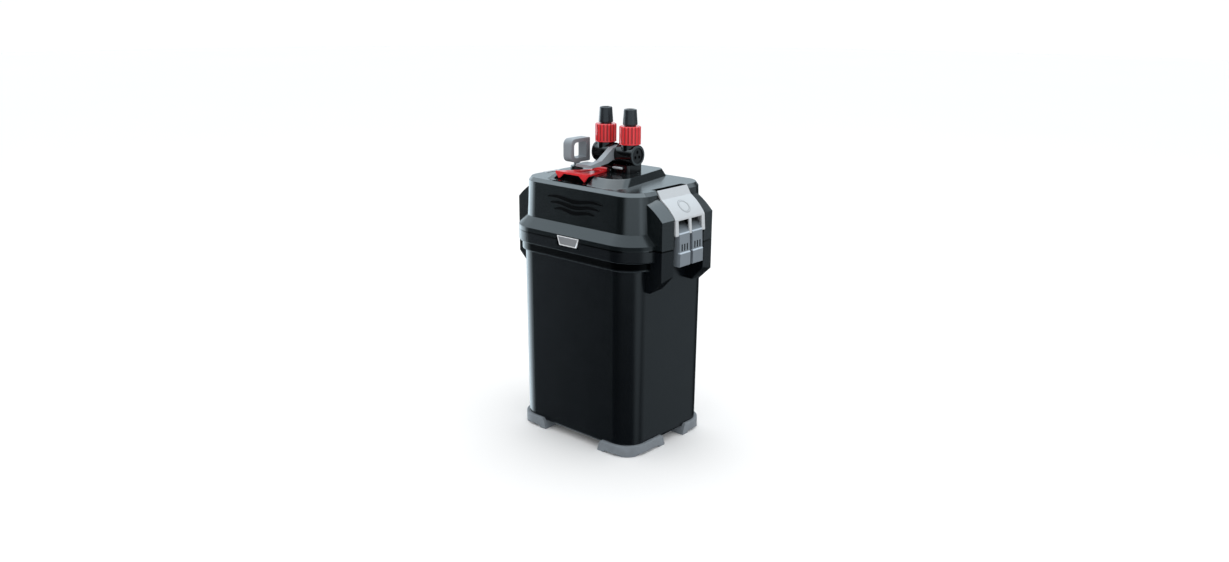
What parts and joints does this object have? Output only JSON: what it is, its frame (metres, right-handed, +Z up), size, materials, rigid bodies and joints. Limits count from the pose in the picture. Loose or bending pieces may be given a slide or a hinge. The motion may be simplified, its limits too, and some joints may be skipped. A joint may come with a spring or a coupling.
{
  "type": "canister filter",
  "caption": "Tall aquarium canister filter: tapered tank, clamped motor head with hose valve, levers and primer, lift-out media baskets and foam.",
  "frame": {"origin": "on the floor, under the middle of the tank's footprint", "axes": "+Z up, -Y the front with the badge, +X and -X the two clamp sides"},
  "size_m": [0.2526, 0.1642, 0.4146],
  "materials": {
    "canister_plastic": "satin moulded plastic",
    "head_plastic": "fine textured plastic",
    "inner_plastic": "plain moulded plastic",
    "basket_plastic": "plain moulded plastic",
    "gloss_black": "gloss",
    "foot_rubber": "soft matt",
    "seal_rubber": "matt",
    "connector_rubber": "soft satin",
    "red_plastic": "satin gloss",
    "lever_grey": "satin",
    "catch_grey": "satin",
    "clamp_silver": "satin silver paint",
    "badge_silver": "bright silver",
    "steel": "turned",
    "stator_steel": "stamped",
    "coil_copper": "enamelled wire",
    "magnet": "sintered ferrite",
    "ceramic_white": "unglazed",
    "granules": "porous",
    "foam": "open cell foam",
    "pad_fibre": "fibre pad"
  },
  "bodies": {
    "canister": {"canister_shell": "canister_plastic", "foot_front_right": "foot_rubber", "foot_front_left": "foot_rubber", "foot_rear_right": "foot_rubber", "foot_rear_left": "foot_rubber"},
    "head": {"head_cover": "head_plastic", "head_base": "inner_plastic", "head_seal": "seal_rubber", "cover_screws": "steel", "cable_gland": "seal_rubber", "badge": "badge_silver", "front_inlay": "gloss_black", "stator_core": "stator_steel", "motor_coil": "coil_copper", "motor_cover": "inner_plastic", "pump_cover": "inner_plastic", "pump_shaft": "ceramic_white", "shaft_bush": "seal_rubber", "primer_cylinder": "inner_plastic", "eject_pin": "steel"},
    "foam_cartridge": {"foam_frame": "inner_plastic", "foam_pad_outer": "foam", "foam_pad_inner": "foam"},
    "lower_basket": {"basket_lower": "basket_plastic", "ceramic_rings": "ceramic_white"},
    "middle_basket": {"basket_middle": "basket_plastic", "filter_granules": "granules"},
    "upper_basket": {"basket_upper": "basket_plastic", "polishing_pad": "pad_fibre", "basket_cover": "basket_plastic"},
    "impeller_unit": {"rotor_magnet": "magnet", "impeller": "inner_plastic"},
    "valve": {"valve_body": "gloss_black", "port_seals": "seal_rubber", "outlet_barrel_cap": "gloss_black", "inlet_barrel_cap": "gloss_black", "outlet_connector": "connector_rubber", "inlet_connector": "connector_rubber"},
    "shutoff": {"shutoff_lever": "lever_grey", "outlet_plug": "inner_plastic", "inlet_plug": "inner_plastic"},
    "outlet_lock_nut": {"outlet_nut": "red_plastic"},
    "inlet_lock_nut": {"inlet_nut": "red_plastic"},
    "eject": {"eject_lever": "red_plastic"},
    "primer": {"primer_handle": "lever_grey", "primer_rod": "lever_grey", "primer_piston": "inner_plastic", "piston_seal": "seal_rubber"},
    "right_clamp": {"right_clamp_plate": "clamp_silver", "right_clamp_pin": "steel", "right_catch_pin": "steel", "right_catch_spring": "steel"},
    "right_catch": {"right_finger_catch": "catch_grey"},
    "left_clamp": {"left_clamp_plate": "clamp_silver", "left_clamp_pin": "steel", "left_catch_pin": "steel", "left_catch_spring": "steel"},
    "left_catch": {"left_finger_catch": "catch_grey"}
  },
  "joints": [
    {"name": "head_lift", "type": "slide", "parent": "canister", "child": "head", "axis": [0, 0, 1], "range_m": [0, 0.33]},
    {"name": "foam_lift", "type": "slide", "parent": "canister", "child": "foam_cartridge", "axis": [0, 0, 1], "range_m": [0, 0.2607]},
    {"name": "lower_basket_lift", "type": "slide", "parent": "canister", "child": "lower_basket", "axis": [0, 0, 1], "range_m": [0, 0.2575]},
    {"name": "middle_basket_lift", "type": "slide", "parent": "canister", "child": "middle_basket", "axis": [0, 0, 1], "range_m": [0, 0.274]},
    {"name": "upper_basket_lift", "type": "slide", "parent": "canister", "child": "upper_basket", "axis": [0, 0, 1], "range_m": [0, 0.2905]},
    {"name": "right_clamp_swing", "type": "hinge", "parent": "head", "child": "right_clamp", "pos_m": [0.098, 0, 0.312], "axis": [0, -1, 0], "range_deg": [0, 104]},
    {"name": "left_clamp_swing", "type": "hinge", "parent": "head", "child": "left_clamp", "pos_m": [-0.098, 0, 0.312], "axis": [0, 1, 0], "range_deg": [0, 104]},
    {"name": "right_catch_release", "type": "hinge", "parent": "right_clamp", "child": "right_catch", "pos_m": [0.117, 0, 0.284], "axis": [0, -1, 0], "range_deg": [0, 12], "stiffness_Nm_per_rad": 0.35},
    {"name": "left_catch_release", "type": "hinge", "parent": "left_clamp", "child": "left_catch", "pos_m": [-0.117, 0, 0.284], "axis": [0, 1, 0], "range_deg": [0, 12], "stiffness_Nm_per_rad": 0.35},
    {"name": "valve_lift", "type": "slide", "parent": "head", "child": "valve", "axis": [0, 0, 1], "range_m": [0, 0.03]},
    {"name": "eject_lever_tilt", "type": "hinge", "parent": "head", "child": "eject", "pos_m": [0, -0.009, 0.34], "axis": [-1, 0, 0], "range_deg": [0, 21]},
    {"name": "shutoff_lever_turn", "type": "hinge", "parent": "valve", "child": "shutoff", "pos_m": [0, 0.009, 0.3586], "axis": [-1, 0, 0], "range_deg": [0, 70]},
    {"name": "outlet_nut_turn", "type": "hinge", "parent": "valve", "child": "outlet_lock_nut", "pos_m": [0.02, 0.009, 0.383], "axis": [0, 0, 1], "range_deg": [0, 720]},
    {"name": "inlet_nut_turn", "type": "hinge", "parent": "valve", "child": "inlet_lock_nut", "pos_m": [-0.02, 0.009, 0.383], "axis": [0, 0, 1], "range_deg": [0, 720]},
    {"name": "primer_pull", "type": "slide", "parent": "head", "child": "primer", "axis": [0, 0, 1], "range_m": [0, 0.036]},
    {"name": "impeller_spin", "type": "hinge", "parent": "head", "child": "impeller_unit", "pos_m": [0.052, -0.008, 0.275], "axis": [0, 0, 1], "continuous": true}
  ],
  "couplings": [
    {"joint": "right_clamp_swing", "follows": "head_lift", "rad_per_m": 5.5},
    {"joint": "left_clamp_swing", "follows": "head_lift", "rad_per_m": 5.5},
    {"joint": "foam_lift", "follows": "head_lift", "ratio": 0.79},
    {"joint": "lower_basket_lift", "follows": "head_lift", "ratio": 0.78},
    {"joint": "middle_basket_lift", "follows": "head_lift", "ratio": 0.83},
    {"joint": "upper_basket_lift", "follows": "head_lift", "ratio": 0.88},
    {"joint": "eject_lever_tilt", "follows": "valve_lift", "rad_per_m": 12.2}
  ]
}
